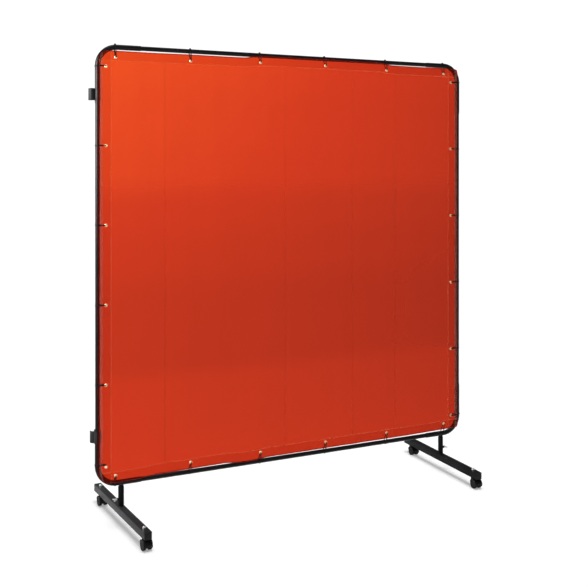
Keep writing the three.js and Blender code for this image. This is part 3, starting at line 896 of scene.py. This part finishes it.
def make_ties():
    """A cable tie at every eyelet, each a little askew and with its head turned its own way."""
    draw = random.Random(7)
    pieces = []
    for x, z, row, number in EYELETS:
        on_bend = number in (1, EYELETS_PER_SIDE)
        lean = draw.uniform(-TIE_LEAN, TIE_LEAN)
        tilt = math.radians(draw.uniform(*HEAD_TURN[row]))
        radius = BEND_RADIUS if on_bend else STRAIGHT_RADIUS
        pieces += make_tie(f"{row}_tie_{number}", x, z, row, radius, lean, tilt)
    return pieces


# ---- Castors ------------------------------------------------------------------------------------

WHEEL_WIDTH = 12 * MM
WHEEL_SIDES = 72
WHEEL_PROFILE = [(radius * MM, along * MM) for radius, along in (
    (0.0, 9.5), (3.3, 9.5), (3.3, 0.0), (7.0, 0.0), (7.4, 0.9), (16.6, 0.9), (17.0, 0.0), (18.6, 0.0),
    (19.4, 0.35), (19.85, 1.0), (20.0, 2.0), (20.0, 5.4), (19.6, 5.8), (19.6, 6.2), (20.0, 6.6),
    (20.0, 10.0), (19.85, 11.0), (19.4, 11.65), (18.6, 12.0), (15.4, 12.0), (14.8, 11.8), (14.2, 10.9),
    (13.6, 10.7), (7.4, 10.7), (6.9, 10.9), (6.3, 11.7), (5.6, 11.95), (0.0, 12.0))]


def wheel_frame(node):
    """The wheel's own frame: Z along its axle, away from the hood, from its inner face."""
    castor = node.rsplit("_", 2)[0]
    axle = (middle_of(f"{castor}_right_wheel") - middle_of(f"{castor}_left_wheel")).normalized()
    if node.endswith("left_wheel"):
        axle = -axle
    turn = Vector((0, 0, 1)).rotation_difference(axle).to_matrix().to_4x4()
    return Matrix.Translation(middle_of(node) - axle * WHEEL_WIDTH / 2) @ turn


def make_wheels():
    for castor in CASTORS:
        for side in SIDES:
            node = f"{castor}_{side}_wheel"
            verts, faces = lathe(WHEEL_PROFILE, WHEEL_SIDES, wheel_frame(node))
            stand_for(new_piece(f"{node}_rim", verts, faces, wheel_plastic), node)


# ---- CAD nodes that keep their shape ------------------------------------------------------------

SAME_POINT = 0.01 * MM  # vertices closer than this are welded
SHARP_ANGLE = 32  # degrees; a sharper edge is shaded as an edge


def dress(node, material, bevel=0.0, segments=2):
    """Gives a CAD node its material, welds its split vertices for smooth shading and eases its edges."""
    piece = NODES[node]
    piece.data.materials.clear()
    piece.data.materials.append(material)
    piece.data.shade_smooth()
    weld = piece.modifiers.new("weld", "WELD")
    weld.merge_threshold = SAME_POINT
    if bevel:
        add_bevel(piece, bevel, segments)
    split = piece.modifiers.new("sharp", "EDGE_SPLIT")
    split.split_angle = math.radians(SHARP_ANGLE)


def dress_cad_nodes():
    for side in SIDES:
        # the feet's lit and shaded copies of one paint: painted light on the left foot, painted shade on the
        # right
        dress(f"{side}_foot_tube", FOOT_PAINT_LIT_AND_SHADED[side], 2.2 * MM, 4)
        dress(f"{side}_leg_socket", leg_paint, 0.4 * MM)
        dress(f"{side}_weld_nut", leg_paint, 0.4 * MM)
        dress(f"{side}_front_cap", cap_plastic, 1.4 * MM, 3)
        dress(f"{side}_rear_cap", cap_plastic, 1.4 * MM, 3)
        dress(f"{side}_wing_bolt", zinc, 0.5 * MM)
    for castor in CASTORS:
        dress(f"{castor}_hood", hood_plastic, 0.4 * MM)
        dress(f"{castor}_axle", zinc)
        dress(f"{castor}_stem", zinc, 0.3 * MM)
        dress(f"{castor}_nut", zinc, 0.5 * MM)
    for node in ("upper_coupler", "lower_coupler"):
        dress(node, coupler_nylon, 0.7 * MM, 3)


# ---- Stage --------------------------------------------------------------------------------------

CAMERA_HEIGHT = 1.4684
CAMERA_LEFT = 1.812  # of the screen's middle
CAMERA_BACK = 3.712  # from the tubes
CAMERA_TURN = 26.01  # degrees to the right of straight on
CAMERA_LENS = 56.64
CAMERA_SHIFT = -0.2186
CAMERA_SENSOR = 36
CAMERA_RANGE = 200
FLOOR_HALF = 60
FLOOR_GLOW = 0.32
WORLD_SEEN = 1.07  # strength of the background in the camera's eye
WORLD_LOW = 0.1  # its strength as a light, near the floor
WORLD_HIGH = 0.25  # and overhead


def make_camera():
    data = bpy.data.cameras.new("camera")
    data.lens = CAMERA_LENS
    data.sensor_width = CAMERA_SENSOR
    data.shift_y = CAMERA_SHIFT
    data.clip_end = CAMERA_RANGE
    camera = bpy.data.objects.new("camera", data)
    camera.location = (MIDDLE_X - CAMERA_LEFT, TUBE_Y - CAMERA_BACK, CAMERA_HEIGHT)
    camera.rotation_euler = (math.pi / 2, 0, -math.radians(CAMERA_TURN))
    bpy.context.scene.collection.objects.link(camera)
    bpy.context.scene.camera = camera


def make_floor():
    shader = Shader("floor")
    shader.set(Base_Color=(0.8, 0.8, 0.8, 1), Roughness=0.9, Specular_IOR_Level=0.0)
    shader.set(Emission_Color=(1, 1, 1, 1), Emission_Strength=FLOOR_GLOW)
    verts = [(-FLOOR_HALF, -FLOOR_HALF, 0), (FLOOR_HALF, -FLOOR_HALF, 0), (FLOOR_HALF, FLOOR_HALF, 0),
             (-FLOOR_HALF, FLOOR_HALF, 0)]
    new_piece("floor", verts, [(0, 1, 2, 3)], shader.material)


def make_world():
    """White to the eye, softer and brighter overhead as a light."""
    world = bpy.data.worlds.new("studio")
    bpy.context.scene.world = world
    world.use_nodes = True
    tree = world.node_tree
    back = tree.nodes["Background"]
    coord = tree.nodes.new("ShaderNodeTexCoord")
    split = tree.nodes.new("ShaderNodeSeparateXYZ")
    lift = tree.nodes.new("ShaderNodeMapRange")
    lift.inputs["From Min"].default_value = -0.1
    lift.inputs["From Max"].default_value = 0.9
    lift.inputs["To Min"].default_value = WORLD_LOW
    lift.inputs["To Max"].default_value = WORLD_HIGH
    path = tree.nodes.new("ShaderNodeLightPath")
    pick = tree.nodes.new("ShaderNodeMix")
    pick.inputs[3].default_value = WORLD_SEEN
    tree.links.new(coord.outputs["Generated"], split.inputs["Vector"])
    tree.links.new(split.outputs["Z"], lift.inputs["Value"])
    tree.links.new(path.outputs["Is Camera Ray"], pick.inputs[0])
    tree.links.new(lift.outputs["Result"], pick.inputs[2])
    tree.links.new(pick.outputs[0], back.inputs["Strength"])
    back.inputs["Color"].default_value = (1, 1, 1, 1)


def make_overhead(strength, softness):
    """Even light from straight above, soft enough for blurred contact shadows."""
    data = bpy.data.lights.new("overhead", "SUN")
    data.energy = strength
    data.angle = math.radians(softness)
    bpy.context.scene.collection.objects.link(bpy.data.objects.new("overhead", data))


def make_panel(name, at, aim, size, power):
    """A softbox that only shows as highlights on glossy surfaces."""
    data = bpy.data.lights.new(name, "AREA")
    data.shape = "RECTANGLE"
    data.size, data.size_y = size
    data.energy = power
    light = bpy.data.objects.new(name, data)
    light.location = at
    light.rotation_euler = (Vector(aim) - Vector(at)).to_track_quat("-Z", "Y").to_euler()
    light.visible_diffuse = False
    bpy.context.scene.collection.objects.link(light)


bpy.context.scene.view_settings.view_transform = "Standard"
make_camera()
make_floor()
make_world()
make_overhead(strength=2.2, softness=34)
make_panel("left_panel", at=(-3.3, -0.6, 2.15), aim=(-0.9, 0, 2.1), size=(3.0, 1.8), power=420)
make_panel("front_panel", at=(-2.4, -4.6, 3.0), aim=(0, 0, 1.2), size=(1.6, 1.2), power=60)

make_frame_tubes()
make_legs()
sheet, hems = make_film()
eyelets = make_eyelets()
ties = make_ties()
make_wheels()
dress_cad_nodes()
